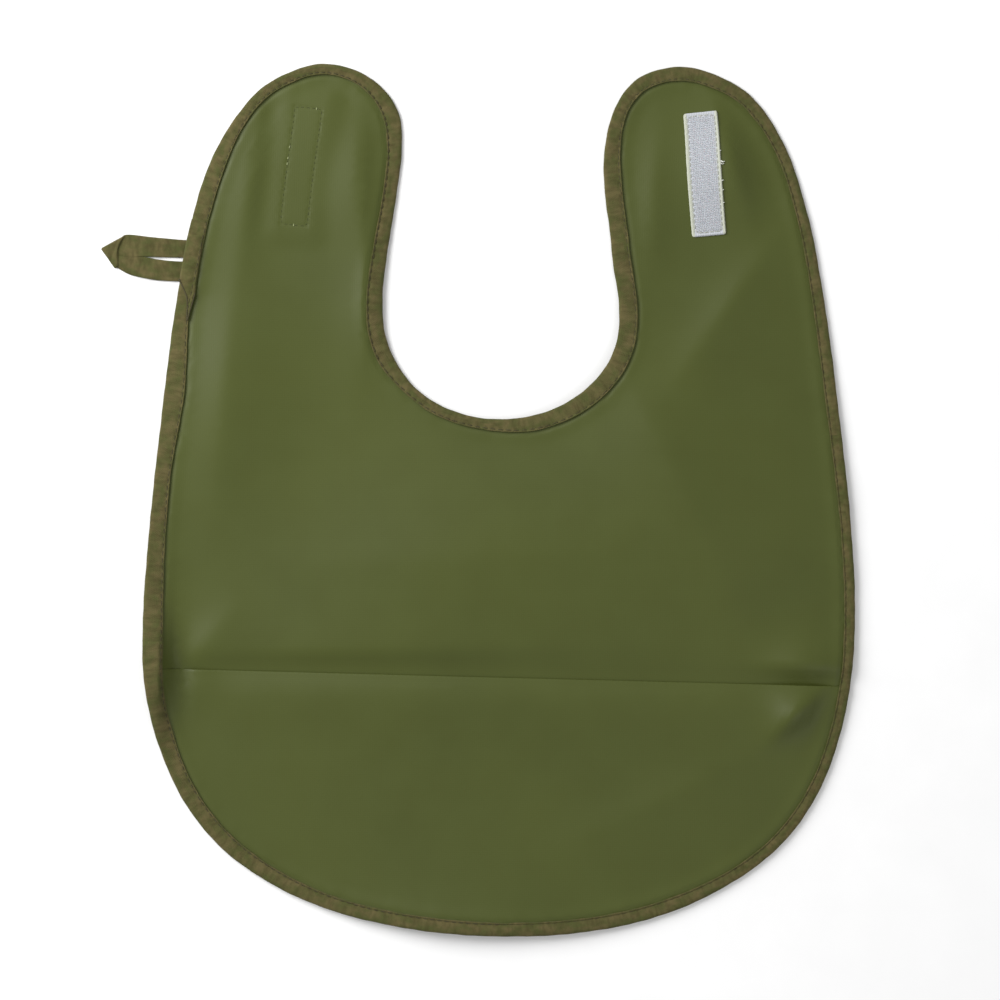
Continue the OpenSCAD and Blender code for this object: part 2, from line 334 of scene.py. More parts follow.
def off_frame(points, name):
    """How far outside a strip's stitched frame each point is, across and along it; below 0 inside."""
    return (np.abs(in_strip(points, name)) - FRAME_HALF).T


def relief(points):
    """Height of the bib's underside over the table, in its soft folds."""
    points = np.asarray(points, float)
    z = np.zeros(len(points))
    for x, y, half_l, left, right, turn, tall in FOLDS:
        along, across = turned(points - (x, y), -math.radians(turn)).T
        z += tall * bell(along, half_l) * crease(across / np.where(across > 0, left, right))
    # the edge rests on the loop's sewn ends
    x, y = (points - HANGER).T
    return z + 0.75 * bell(x, 11) * smooth(-19, -9, y) * smooth(20, 10, y)


def shifted(points):
    """The points moved as the fabric lies."""
    moved = np.array(points, float)
    for x, y, across, along, dx, dy in SHIFTS:
        share = bell(points[..., 0] - x, across) * bell(points[..., 1] - y, along)
        moved[..., 0] += dx * share
        moved[..., 1] += dy * share
    return moved


seam_ripple = ripple(AROUND, (7, 9.5, 12, 17, 26), 3)
tape_ripple = ripple(AROUND, (6, 8, 11, 15), 8)
puff_ripple = ripple(AROUND, (19, 27, 41, 66), 4)
width_ripple = ripple(AROUND, (14, 22, 35), 5)
edge_ripple = ripple(AROUND, (9, 16, 30, 55), 12)


def panel_under(points, u, d):
    """Underside of the main panel."""
    folds, off = relief(points), d - seam_at(u) - LIP
    z = 0.3 * smooth(2, 30, off) + folds + TAPE * (1 - smooth(0.5, 7.5, off))
    z += 0.14 * bell(off - 1.5, 3.2) * seam_ripple(u)
    # it lies on the loop strip, dips beside the binding and at the mouth, and is drawn in by the stitches
    over = np.linalg.norm(np.maximum(np.abs(in_strip(points, "loop")) - STRIP_HALF, 0), axis=1)
    z += (LOOP_STRIP + 0.1) * (1 - smooth(0, 11, over)) * smooth(2.2, 0.3, folds)
    z -= 0.4 * bell(off - 0.45, 0.6)
    z -= MOUTH_DIP * bell(points[:, 1] - mouth(points[:, 0]), 7) * smooth(2, 25, off)
    for name, deep in (("loop", 0.22), ("hook", 0.1)):
        x, y = off_frame(points, name)
        line = np.where(y > x, np.hypot(y, np.maximum(x, 0)), np.hypot(x, np.maximum(y, 0)))
        z -= deep * bell(line, 0.7)
    return np.maximum(z, 0.02)


def panel_top(points, u, d):
    return panel_under(points, u, d) + FABRIC


def pocket_share(points):
    """1 where the pocket covers the panel, 0 above its mouth."""
    return smooth(2.0, -2.0, points[:, 1] - mouth(points[:, 0]))


def pocket_under(points, u, d):
    """Underside of the pocket: it lies on the panel, and stands a little off it near its mouth."""
    x, y = points[:, 0], points[:, 1]
    below = mouth(x) - y
    puff = 1.4 * bell(below - 7, np.where(below < 7, 6, 20)) * smooth(8, 50, d)
    # a short crease at the left end of the mouth, and a slanting one at the right end
    inside = smooth(6.5, 9, d)
    puff = puff + (1.2 * bell(x + 134, 9) - 1.3 * bell(x + 138, 2.0)) * bell(below - 4, 11) * inside
    slant, along = (x - 131 - (y + 94)) * 0.707, (x - 131 + y + 94) * 0.707
    puff = puff + 6.0 * crease(slant / np.where(slant < 0, 10, 5)) * bell(along, 13) * inside
    return panel_top(points, u, d) + 0.05 + puff


# ---------------------------------------------------------------- meshes

def mesh(name, verts, faces, normals=None, flat=(), uv=None, shift=True):
    """An object from points in millimetres, shifted as the fabric lies. The faces numbered in flat are shaded
    flat, and the others smooth, with the given normals if there are any."""
    verts = np.array(verts, float)
    if shift:
        verts[:, :2] = shifted(verts[:, :2])
    data = bpy.data.meshes.new(name)
    data.from_pydata((verts * MM).tolist(), [], [tuple(map(int, f)) for f in faces])
    is_smooth = np.ones(len(data.polygons), bool)
    is_smooth[list(flat)] = False
    data.polygons.foreach_set("use_smooth", is_smooth)
    loops = np.empty(len(data.loops), int)
    data.loops.foreach_get("vertex_index", loops)
    if uv is not None:
        layer = data.uv_layers.new(name="UVMap")
        layer.data.foreach_set("uv", (np.asarray(uv, float)[loops] * MM).ravel())
    data.update()
    if normals is not None:
        chosen = np.asarray(normals, float)[loops]
        face_normal = np.empty(len(data.polygons) * 3)
        data.polygons.foreach_get("normal", face_normal)
        face_normal = face_normal.reshape(-1, 3)
        for k in flat:
            polygon = data.polygons[k]
            chosen[polygon.loop_start : polygon.loop_start + polygon.loop_total] = face_normal[k]
        data.normals_split_custom_set(chosen.tolist())
    piece = bpy.data.objects.new(name, data)
    bpy.context.scene.collection.objects.link(piece)
    return piece


def points_of(piece):
    """A piece's points, in millimetres."""
    found = np.empty(len(piece.data.vertices) * 3)
    piece.data.vertices.foreach_get("co", found)
    return found.reshape(-1, 3) / MM


def point_normals(verts, tris):
    """Smooth normals of a surface of triangles."""
    a, b, c = (verts[tris[:, k]] for k in range(3))
    n = np.cross(b - a, c - a)
    total = np.zeros_like(verts)
    for k in range(3):
        np.add.at(total, tris[:, k], n)
    return total / np.maximum(np.linalg.norm(total, axis=1), 1e-12)[:, None]


def renumber(tris, count):
    """Which of that many points the triangles use, and the triangles with only those points numbered."""
    used = np.unique(tris)
    place = np.full(count, -1)
    place[used] = np.arange(len(used))
    return used, place[tris]


def triangles(outline, extra, lines=()):
    """Triangles that fill the outline and use the extra points. Edges follow the lines, runs of points."""
    points = [tuple(p) for p in outline]
    face = list(range(len(points)))
    edges = []
    for line in lines:
        first = len(points)
        points += [tuple(p) for p in line]
        edges += [(first + k, first + k + 1) for k in range(len(line) - 1)]
    points += [tuple(p) for p in extra]
    out = delaunay_2d_cdt([Vector(p) for p in points], edges, [face], 1, 1e-5)
    flat = np.array([tuple(v) for v in out[0]])
    tris = np.array([f for f in out[2] if len(f) == 3])
    a, b, c = (flat[tris[:, k]] for k in range(3))
    turn = (b[:, 0] - a[:, 0]) * (c[:, 1] - a[:, 1]) - (b[:, 1] - a[:, 1]) * (c[:, 0] - a[:, 0])
    tris[turn < 0] = tris[turn < 0][:, ::-1]
    used, tris = renumber(tris[np.abs(turn) > 1e-6], len(flat))
    return flat[used], tris


def border(faces):
    """The sides that only one face has, in its direction."""
    n = faces.shape[1]
    pairs = np.concatenate([faces[:, [k, (k + 1) % n]] for k in range(n)])
    size = faces.max() + 1
    key, back = pairs[:, 0] * size + pairs[:, 1], pairs[:, 1] * size + pairs[:, 0]
    return pairs[~np.isin(key, back)]


def closed(faces, count):
    """A closed shell: the faces, the same ones turned over below, count points on, and walls between."""
    rim = border(faces)
    walls = np.column_stack([rim[:, 1], rim[:, 0], rim[:, 0] + count, rim[:, 1] + count])
    return [*faces.tolist(), *(faces[:, ::-1] + count).tolist(), *walls.tolist()]


def sheets(names, groups, flat, tris, under, top):
    """Closed sheets from flat triangles and the heights of both faces: one for each group of triangles."""
    low, high = np.column_stack([flat, under]), np.column_stack([flat, top])
    low_normals, high_normals = -point_normals(low, tris), point_normals(high, tris)
    made = []
    for k, name in enumerate(names):
        used, own = renumber(tris[groups == k], len(flat))
        verts = np.vstack([high[used], low[used]])
        normals = np.vstack([high_normals[used], low_normals[used]])
        faces = closed(own, len(used))
        walls = range(2 * len(own), len(faces))
        made.append(mesh(name, verts, faces, normals, walls, np.vstack([flat[used]] * 2)))
    return made


def sheet(name, flat, tris, under, top):
    """One closed sheet."""
    return sheets([name], np.zeros(len(tris)), flat, tris, under, top)[0]


def grid(low, high, step):
    """Points of an even triangular grid over a box."""
    rows = []
    for k, y in enumerate(np.arange(low[1], high[1], step * 0.866)):
        x = np.arange(low[0] + (k % 2) * step / 2, high[0], step)
        rows.append(np.column_stack([x, np.full(len(x), y)]))
    return np.vstack(rows)


# ---------------------------------------------------------------- main panel and pocket

def ring(inset, step):
    """Points at about even steps round the bib, at one distance inside its edge."""
    count = int(AROUND / step)
    return edge_point(np.arange(count) * AROUND / count, inset)


def fabric_points():
    """Points of the fabric: rings beside the binding, and inside them a grid that is clear of the frames."""
    inner = grid(EDGE.min(0), EDGE.max(0), GRID_STEP)
    inner = inner[(to_edge(inner)[1] > GRID_INSET) & ~near_frame(inner)]
    return np.vstack([*(ring(inset, RING_STEP) for inset in RINGS), inner])


def fold_lines():
    """Runs of points along the cuts between the zones."""
    t = np.arange(-78, 78, 3.0)[:, None]
    lines = []
    for side in ("left", "right"):
        at, across, axis = (v[:2] for v in joint_line(f"{side}_arm_fold"))
        lines += [at + across * cut + t * axis for cut in (ROOT_CUT, TIP_CUT)]
    return lines


def strip_frames():
    """Points along the stitched frames, so that the fabric can dip there."""
    found = []
    for name in STRIPS:
        for out in (-1.4, -0.7, 0.0, 0.7, 1.4):
            w, h = FRAME_HALF + out
            x, y = np.arange(-w, w, 1.4), np.arange(-h, h, 1.4)
            sides = ((x, 0 * x - h), (0 * y + w, y), (-x, 0 * x + h), (0 * y - w, -y))
            found += [from_strip(np.column_stack(side), name) for side in sides]
    return np.vstack(found)


def near_frame(points):
    """Whether each point is beside a stitched frame, where strip_frames() has its own points."""
    near = np.zeros(len(points), bool)
    for name in STRIPS:
        x, y = off_frame(points, name)
        near |= (np.abs(x) < FRAME_GAP) & (y < FRAME_GAP) | (np.abs(y) < FRAME_GAP) & (x < FRAME_GAP)
    return near


def main_panel():
    """The main panel, cut at the arms' fold lines into one piece for each zone."""
    extra = np.vstack([fabric_points(), strip_frames()])
    s = arm_distance(extra)
    extra = extra[(np.abs(s - ROOT_CUT) > CUT_GAP) & (np.abs(s - TIP_CUT) > CUT_GAP)]
    flat, tris = triangles(ring(0.7, OUTLINE_STEP), extra, fold_lines())
    under = panel_under(flat, *to_edge(flat))
    names = [f"panel_{zone}" for zone in ZONES]
    made = sheets(names, zone_of(flat[tris].mean(1)), flat, tris, under, under + FABRIC)
    for zone, piece in zip(ZONES, made):
        settle(piece, zone, "coated_fabric", f"{zone}_panel")
    return made


def pocket_outline(inset):
    """The pocket's outline: the bib's edge below the mouth, and the mouth."""
    edge = ring(inset, MOUTH_STEP)
    low = edge[edge[:, 1] < mouth(edge[:, 0]) - 0.8]
    low = low[np.argsort(np.arctan2(low[:, 1] + 60, low[:, 0]))]
    x = np.arange(low[-1, 0] - 1.2, low[0, 0] + 1.2, -MOUTH_STEP)
    return np.vstack([low, np.column_stack([x, mouth(x)])])


def pocket():
    """The pocket's panel, which lies on the main panel."""
    rows = []
    for below in (0.12, 0.3, 0.7, 1.5, 2.8, 4.6):     # along the mouth
        x = np.arange(-147, 148, MOUTH_STEP) + (below * 7 % MOUTH_STEP)
        rows.append(np.column_stack([x, mouth(x) - below]))
    rows = np.vstack(rows)
    rows = rows[to_edge(rows)[1] > 1.6]
    extra = fabric_points()
    extra = extra[mouth(extra[:, 0]) - extra[:, 1] > 6.0]
    flat, tris = triangles(pocket_outline(0.8), np.vstack([rows, extra]))
    # the mouth is a fold, so its edge is round
    half = 0.3
    swell = half * np.maximum(rounded((mouth(flat[:, 0]) - flat[:, 1]) / 0.4), math.sqrt(0.02))
    middle = pocket_under(flat, *to_edge(flat)) + half
    piece = sheet("pocket_panel", flat, tris, middle - swell, middle + swell)
    fold = JOINTS["pocket_open"]["pos_m"]
    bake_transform(piece)
    # its sides are sewn down and the middle of its mouth is free; this share of lift is worked out, but not
    # used
    at = points_of(piece)[:, :2]
    weight = smooth(fold[1] / MM, MOUTH_Y + 6, at[:, 1]) * smooth(6.4, 105, to_edge(at)[1])
    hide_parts("pocket_pouch", "pocket_mouth")
    return piece


# ---------------------------------------------------------------- edge binding

def layers(u):
    """Thickness of what the binding is folded round."""
    share = pocket_share(edge_point(u, MID_TAPE))
    return FABRIC * (1 + share) + 0.1 * share


def on_edge(u, d, over):
    """Points of the binding, over the underside of the fabric inside it."""
    flat = edge_point(u, d)
    shape = flat.shape[:-1]
    z = relief(flat.reshape(-1, 2)).reshape(shape) + TAPE + over
    return np.concatenate([flat, np.maximum(z, 0.0)[..., None]], -1)


def tape_over(u, d):
    """Height of the binding's upper face over the underside of the fabric."""
    seam = seam_at(u)
    crown = (0.34 + 0.16 * puff_ripple(u)) * np.sqrt(np.clip(np.sin(math.pi * np.clip(d / seam, 0, 1)), 0, 1))
    lip = 0.42 * bell(d - seam - LIP_TOP, 0.5)
    hole = 0.3 + 0.7 * np.cos(math.pi * u / PITCH) ** 8     # the needle's holes lie between two stitches
    dip = 0.36 * bell(d - seam, 0.55) * hole
    return layers(u) + TAPE + crown + lip - dip + 0.09 * tape_ripple(u + 1.7 * d)


def tape_profile(u):
    """The binding's closed outline at every u: sections x points x (distance inside the edge, height)."""
    seam, thick = seam_at(u), layers(u)
    width = seam + LIP + 0.15 * width_ripple(u)
    out = 0.16 * edge_ripple(u)
    # the upper fold's inner lip, its top, the turn round the raw edge, and the lower fold
    points = []
    for share in (0.3, 0.7, 0.92):
        points.append((width + 0.12 * math.sin(math.pi * share), thick + share * (TAPE + 0.32)))
    top = (width - 0.2, width - 0.45, seam + 0.25, seam, seam - 0.3, seam - 0.8, seam - 1.7)
    points += [(d, tape_over(u, d)) for d in (*top, 0.45 * seam, 1.5 + out, 0.7 + out)]
    for share in (0.75, 0.4, 0.0, -0.4, -0.75):
        bulge = 0.5 * (1 - math.sqrt(1 - share**2))
        points.append((out - 0.05 + bulge, thick / 2 + share * (thick / 2 + TAPE)))
    for d in (1.2 + out, 2.8, seam - 0.5, seam, seam + 0.4, width - 0.2):
        points.append((d, -TAPE + 0.15 * bell(d - seam, 0.5)))
    points.append((width + 0.05, -0.5 * TAPE))
    # inside, against the fabric
    points += [(d, -0.02) for d in (width - 0.02, seam, 2.0, 1.0)] + [(0.75, thick / 2)]
    points += [(d, thick + 0.02) for d in (1.0, 2.0, seam, width - 0.02)]
    return np.stack([np.stack(np.broadcast_arrays(d, over, u)[:2], 1) for d, over in points], 1)


def band_of(zone, centre):
    """The name of a zone's stretch of binding round that point, and the CAD nodes that it stands for."""
    if zone == "torso" and centre[1] > 0:
        return "torso_neck", ["neck_binding"]
    if zone == "torso":
        places = ("left_side", "right_side", "left_corner", "right_corner", "bottom")
        return "torso_outer", [f"{place}_binding" for place in places]
    if zone.endswith("tip"):
        return zone, [f"{zone}_{part}_binding" for part in ("outer", "end", "inner")]
    name = f"{zone}_neck" if abs(centre[0]) < 90 else f"{zone}_outer"
    return name, [f"{name}_binding"]


def binding():
    """The tape folded round the bib's edge, cut where the panel is cut."""
    count = STITCHES * SECTIONS
    u = np.arange(count) * AROUND / count
    profile = tape_profile(u)
    cols = profile.shape[1]
    verts = on_edge(np.repeat(u, cols), profile[..., 0].ravel(), profile[..., 1].ravel())
    across = np.concatenate([[0], np.cumsum(np.linalg.norm(np.diff(profile, axis=1), axis=2).mean(0))])
    a, k = np.arange(count)[:, None] * cols, np.arange(cols)[None]
    b, m = np.roll(a, -1, 0), np.roll(k, -1, 1)
    quads = np.stack([a + k, a + m, b + m, b + k], -1).reshape(-1, 4)
    normals = point_normals(verts, np.vstack([quads[:, [0, 1, 2]], quads[:, [0, 2, 3]]]))

    mid = edge_point(u, MID_TAPE)
    zone = zone_of(mid)
    starts = [i for i in range(count) if zone[i] != zone[i - 1]]
    made = []
    for first, last in zip(starts, starts[1:] + [starts[0] + count]):
        sections = np.arange(first, last + 1) % count
        n, own = len(sections), ZONES[zone[first]]
        name, nodes = band_of(own, mid[sections[n // 2]])
        index = (sections[:, None] * cols + k).ravel()
        faces = quads[: (n - 1) * cols].tolist()
        caps = [range(cols)[::-1], range((n - 1) * cols, n * cols)]
        uv = np.column_stack([np.repeat(np.unwrap(u[sections], period=AROUND), cols), np.tile(across, n)])
        piece = mesh(f"binding_{name}", verts[index], faces + caps, normals[index],
                     (len(faces), len(faces) + 1), uv)
        settle(piece, own, "binding_tape", *nodes)
        made.append(piece)
    return made


# The binding's end is folded slantwise and lies on its beginning, below the hanging loop.
# Its outline, as distance along the edge from the loop's middle and distance inside the edge
END_FOLD = [(-18, -0.15), (9, -0.15), (16.5, 4.6), (26, 6.0), (21.5, 6.8), (14, 7.8), (2, 7.4), (-18, 6.9)]
END_THICK = 0.75
END_PATCH = (900, 40)   # where its patch of the tape's pattern is


def inside_by(points, outline):
    """How far inside a closed outline each point is, and below 0 outside."""
    a, b = np.array(outline, float), np.roll(np.array(outline, float), -1, 0)
    ab = b - a
    t = np.clip(((points[:, None] - a) * ab).sum(2) / (ab**2).sum(1), 0, 1)
    far_off = np.linalg.norm(points[:, None] - (a + t[..., None] * ab), axis=2).min(1)
    y, x = points[:, 1, None], points[:, 0, None]
    crosses = (a[:, 1] > y) != (b[:, 1] > y)
    side = x < ab[:, 0] * (y - a[:, 1]) / np.where(ab[:, 1] == 0, 1e-9, ab[:, 1]) + a[:, 0]
    return np.where((crosses & side).sum(1) % 2 == 1, far_off, -far_off)


def end_fold_over(u, d):
    """Height of the folded end over the binding."""
    local = np.column_stack([u - HANGER_U, d])
    return END_THICK * rounded(inside_by(local, END_FOLD) / 0.45) * smooth(-18, -6, local[:, 0])


def on_tape(local, over):
    """Points over the binding's upper face, given as distances along the edge from the loop and inside it."""
    u, d = local[:, 0] + HANGER_U, local[:, 1]
    return on_edge(u, d, tape_over(u, np.clip(d, 0.7, seam_at(u) + LIP_TOP)) + over)


def filled(outline, step, spacing, gap):
    """Flat points and triangles that fill an outline: steps along its sides, and a grid inside them."""
    outline = np.array(outline, float)
    sides = zip(outline, np.roll(outline, -1, 0))
    rim = [np.linspace(a, b, max(2, int(np.hypot(*(b - a)) / step)), endpoint=False) for a, b in sides]
    inner = grid(outline.min(0), outline.max(0), spacing)
    return triangles(np.vstack(rim), inner[inside_by(inner, outline) > gap])


def end_fold():
    """The binding's folded end."""
    local, tris = filled(END_FOLD, 0.5, 0.55, 0.2)
    top = on_tape(local, 0.02 + end_fold_over(local[:, 0] + HANGER_U, local[:, 1]))
    low = on_tape(local, -0.12)
    uv = np.vstack([local * (1, -1)] * 2) + END_PATCH
    piece = mesh("binding_folded_end", np.vstack([top, low]), closed(tris, len(local)), uv=uv)
    settle(piece, "left_tip", "binding_tape", "binding_end_fold")
    return piece


def end_fold_crease_shade():
    """Painted shade of the folded end's crease: a dark tube along its slant and back along its inner side."""
    local = open_curve([(along, d - 0.1) for along, d in END_FOLD[1:6]], 90)
    # a tube in the dark binding thread, painting the shadow of the crease
    piece = fibres("binding_end_crease_shade", [on_tape(local, 0.5)], 0.4, 6)
    settle(piece, "left_tip", "binding_thread", "binding_end_fold")
    return piece


# ---------------------------------------------------------------- stitches

def tube_rings(centre, side, up, thick, sides):
    """Points of tubes: a ring round each point of a middle line; side and up are square to the line."""
    turn = (np.arange(sides) * math.tau / sides)[:, None]
    around = np.cos(turn) * side[:, :, None] + np.sin(turn) * up[:, :, None]
    return (centre[:, :, None] + around * thick[:, None, None]).reshape(-1, 3)


def tube_faces(count, steps, sides):
    """Faces of that many closed tubes, each with so many rings."""
    one = []
    for r in range(steps - 1):
        for c in range(sides):
            a, b = r * sides + c, r * sides + (c + 1) % sides
            one.append((b, a, a + sides, b + sides))
    one += [tuple(range(sides)), tuple(range((steps - 1) * sides, steps * sides))[::-1]]
    return [tuple(i + k * steps * sides for i in f) for k in range(count) for f in one]


def threads(starts, ends, up, radius, rise, dive):
    """Points, faces and UVs of short stitches, each an arch of thread whose ends go into the fabric."""
    sides, steps, count = 6, 6, len(starts)
    ahead = (ends - starts) / np.linalg.norm(ends - starts, axis=1)[:, None]
    up = np.broadcast_to(np.array(up, float), ahead.shape)
    side = np.cross(ahead, up)
    side /= np.linalg.norm(side, axis=1)[:, None]
    t = np.linspace(0, 1, steps)
    bow = (2 * t - 1) ** 4
    arch = rise - (rise + dive) * bow
    centre = starts[:, None] + (ends - starts)[:, None] * t[None, :, None] + up[:, None] * arch[None, :, None]
    verts = tube_rings(centre, side[:, None], up[:, None], radius * (1 - 0.35 * bow), sides)
    along = np.repeat(np.arange(count) * 3.0, steps * sides) + np.tile(np.repeat(t * 2.5, sides), count)
    round_it = np.tile(np.arange(sides) * math.tau / sides * radius, steps * count)
    return verts, tube_faces(count, steps, sides), np.column_stack([along, round_it])


def fibres(name, paths, radius, sides=4):
    """A piece of thin tubes, one along each of the paths, which all have as many points."""
    paths = np.asarray(paths, float)
    count, steps = paths.shape[:2]
    ahead = np.gradient(paths, axis=1)
    ahead /= np.linalg.norm(ahead, axis=2, keepdims=True)
    side = np.cross(ahead, np.array([0.31, 0.17, 0.94]))     # no path runs that way
    side /= np.linalg.norm(side, axis=2, keepdims=True)
    verts = tube_rings(paths, side, np.cross(side, ahead), radius * np.linspace(1, 0.8, steps), sides)
    one = np.arange(steps * sides) * 0.05
    uv = np.column_stack([np.repeat(np.arange(count) * 1.7, steps * sides), np.tile(one, count)])
    return mesh(name, verts, tube_faces(count, steps, sides), uv=uv)


def stitch_piece(name, starts, ends, up, radius, rise=0.12, dive=0.3):
    verts, faces, uv = threads(starts, ends, up, radius, rise, dive)
    return mesh(name, verts, faces, uv=uv)


def binding_stitches():
    """The stitches along the binding, in front and behind, as one piece for each zone."""
    rng = random.Random(21)
    u = np.arange(STITCHES) * AROUND / STITCHES
    jitter = np.array([rng.uniform(-0.06, 0.06) for _ in range(STITCHES)])
    zone = zone_of(edge_point(u + PITCH / 2, MID_TAPE))
    front, back = [], []
    for at in (u + HOLE, u + PITCH - HOLE):
        d = seam_at(at) + jitter
        front.append(on_edge(at, d, tape_over(at, d) + end_fold_over(at % AROUND, d)))
        back.append(on_edge(at, d, -TAPE + 0.15))
    made = []
    for k, name in enumerate(ZONES):
        own = zone == k
        upper = threads(front[0][own], front[1][own], (0, 0, 1), THREAD, 0.08, 0.22)
        lower = threads(back[0][own], back[1][own], (0, 0, -1), 0.12, -0.02, 0.1)
        verts = np.vstack([upper[0], lower[0]])
        verts[:, 2] = np.maximum(verts[:, 2], 0.0)
        faces = upper[1] + [tuple(i + len(upper[0]) for i in f) for f in lower[1]]
        piece = mesh(f"binding_stitches_{name}", verts, faces, uv=np.vstack([upper[2], lower[2]]))
        settle(piece, name, "binding_thread", f"{name}_seam_thread")
        made.append(piece)
    return made


# ---------------------------------------------------------------- hook and loop strips

def strip_box(inset, radius, step):
    """Points at about even steps round a strip, inside its edge, with round corners, turning left."""
    corner = STRIP_HALF - inset - radius
    points = []
    for k, side in enumerate(((1, 1), (-1, 1), (-1, -1), (1, -1))):
        for a in np.radians(range(90 * k, 90 * k + 91, 15)):
            points.append(corner * side + radius * np.array([math.cos(a), math.sin(a)]))
    points = np.array(points)
    length = np.linalg.norm(points - np.roll(points, -1, 0), axis=1).sum()
    return even(points, int(round(length / step)))[0]


def strip_plate(strip, under, thick, groove):
    """The woven base of a strip: flat points, triangles and the heights of both faces. The lower face lies on
    under, a function of flat points."""
    rng = random.Random(sum(map(ord, strip)))
    outline = strip_box(0, 1.1, 0.6)
    outline += np.array([[rng.uniform(-0.06, 0.06), rng.uniform(-0.06, 0.06)] for _ in outline])
    rings = [strip_box(inset, 1.0, 0.7) for inset in (0.18, 0.45, 0.8, 1.2, 1.6, 2.0, 2.5)]
    local, tris = triangles(outline, np.vstack([*rings, grid(3 - STRIP_HALF, STRIP_HALF - 3, 1.2)]))
    inset = (STRIP_HALF - np.abs(local)).min(1)
    flat = from_strip(local, strip)
    low = under(flat)
    top = low + thick * (0.35 + 0.65 * rounded(inset / 0.45)) + 0.1 * bell(inset - 0.6, 0.35)
    return flat, tris, low, top - groove * bell(inset - STRIP_SEAM, 0.3)


def along_strip(piece, strip):
    """Turns a piece's flat coordinates into a strip's own directions, so that its weave runs along it."""
    layer = piece.data.uv_layers["UVMap"].data
    found = np.empty(len(layer) * 2)
    layer.foreach_get("uv", found)
    layer.foreach_set("uv", (in_strip(found.reshape(-1, 2) / MM, strip) * MM).ravel())


# One hook from the side: how far forward, and how far up out of HOOK_SHAPE_TALL
HOOK_SHAPE = np.array([(0, 0), (0.0, 0.45), (0.05, 0.72), (0.2, 0.93), (0.42, 0.9), (0.52, 0.66)])
HOOK_SHAPE_TALL = 0.95
HOOK_ROW, HOOK_STEP = 0.84, 1.05     # from row to row, and from hook to hook
PILE_LOOPS = 950
# Frayed threads at the hook strip's right edge: place along the strip, and length
FRAYS = [(4.6, 2.0), (4.1, 1.3), (3.6, 1.6), (-4.2, 1.0), (-8.0, 0.7), (9.0, 0.6), (-13.5, 0.6)]
# Where the thread of the loop strip's back shows in front, in the strip's own directions
KNOTS = [(-5.9, 7.0), (-5.9, 3.6), (-5.9, -0.6), (4.0, 25.9), (0.5, -25.9)]


def hook_paths():
    """Bent hooks in rows on the hook strip, each row facing the other way."""
    rng = random.Random(6)
    ahead, up = HOOK_SHAPE.T
    paths = []
    low, high = -STRIP_HALF + (2.2, 2.3), STRIP_HALF - (2.0, 2.1)
    for k, x in enumerate(np.arange(low[0], high[0], HOOK_ROW)):
        for y in np.arange(low[1], high[1], HOOK_STEP):
            px, py = x + rng.uniform(-0.1, 0.1), y + rng.uniform(-0.16, 0.16)
            facing = math.radians(90 * (-1) ** k + rng.uniform(-25, 25))
            tall = HOOK_TALL / HOOK_SHAPE_TALL * rng.uniform(0.85, 1.05)
            paths.append(upright(from_strip((px, py), "hook"), facing, ahead, up * tall))
    return np.array(paths)


def loop_paths():
    """Small loose loops of the loop strip's pile."""
    rng = random.Random(7)
    paths = []
    t = np.linspace(0, math.pi, 6)
    half_w, half_l = STRIP_HALF - 0.9
    for _ in range(PILE_LOOPS):
        x, y = rng.uniform(-half_w, half_w), rng.uniform(-half_l, half_l)
        facing, wide, tall = rng.uniform(0, math.tau), rng.uniform(0.35, 0.6), rng.uniform(0.4, 0.72)
        paths.append(upright(from_strip((x, y), "loop"), facing, -wide * np.cos(t), tall * np.sin(t)))
    return np.array(paths)


def heights(flat, surface):
    """A surface's height at flat points of any shape."""
    points = np.asarray(flat, float).reshape(-1, 2)
    return surface(points, *to_edge(points)).reshape(np.shape(flat)[:-1])


def upright(foot, facing, out, up):
    """A path in an upright plane: out from its foot, the way that it faces, and up."""
    return np.column_stack([foot[0] + out * math.cos(facing), foot[1] + out * math.sin(facing), up])


def seat(paths, z):
    """Paths raised onto the height z at each path's foot."""
    return paths + np.array([0, 0, 1.0]) * z[:, None, None]


def seam_run():
    """Where the stitches of a strip's frame begin, in the strip's own directions."""
    return strip_box(STRIP_SEAM, 0.4, STRIP_PITCH)


def stitch_ends(strip, free):
    """Both ends of each stitch of a strip's frame; free is the share of its length left out at either end."""
    run = seam_run()
    starts, ends = from_strip(run, strip), from_strip(np.roll(run, -1, 0), strip)
    gap = (ends - starts) * free
    return starts + gap, ends - gap


def hook_strip():
    """The hook strip on the front of the right arm."""
    def under(flat):
        return heights(flat, panel_top) + 0.02

    base = sheet("hook_tape_base", *strip_plate("hook", under, HOOK_BASE, 0.14))
    along_strip(base, "hook")
    paths = hook_paths()
    hooks = fibres("hook_tape_hooks", seat(paths, under(paths[:, 0, :2]) + HOOK_BASE - 0.05), 0.11)
    ends = [np.column_stack([p, under(p) + HOOK_BASE - 0.02]) for p in stitch_ends("hook", 0.03)]
    seam = stitch_piece("hook_tape_stitches", *ends, (0, 0, 1), 0.17)
    frays = loose_threads()
    settle(base, "right_tip", "hook_tape", "hook_strip")
    settle(hooks, "right_tip", "hook_tape", "hook_strip")
    settle(seam, "right_tip", "strip_thread", "hook_strip_stitching")
    settle(frays, "right_tip", "strip_thread")
    return base, hooks, seam, frays


def loose_threads():
    """A few frayed threads at the hook strip's right edge."""
    rng = random.Random(4)
    t = np.linspace(0, 1, 7)
    paths = []
    for y, long in FRAYS:
        wave = 0.35 * long * np.sin(t * 3.1 + rng.uniform(-0.6, 0.6)) * rng.choice((-1, 1))
        flat = from_strip(np.column_stack([STRIP_WIDTH / 2 - 0.3 + long * t, y + wave]), "hook")
        paths.append(np.column_stack([flat, 0.55 + 0.25 * np.sin(t * 3)]))
    paths = np.array(paths)
    return fibres("hook_tape_loose_threads", seat(paths, heights(paths[:, 0, :2], panel_top)), 0.18, 5)


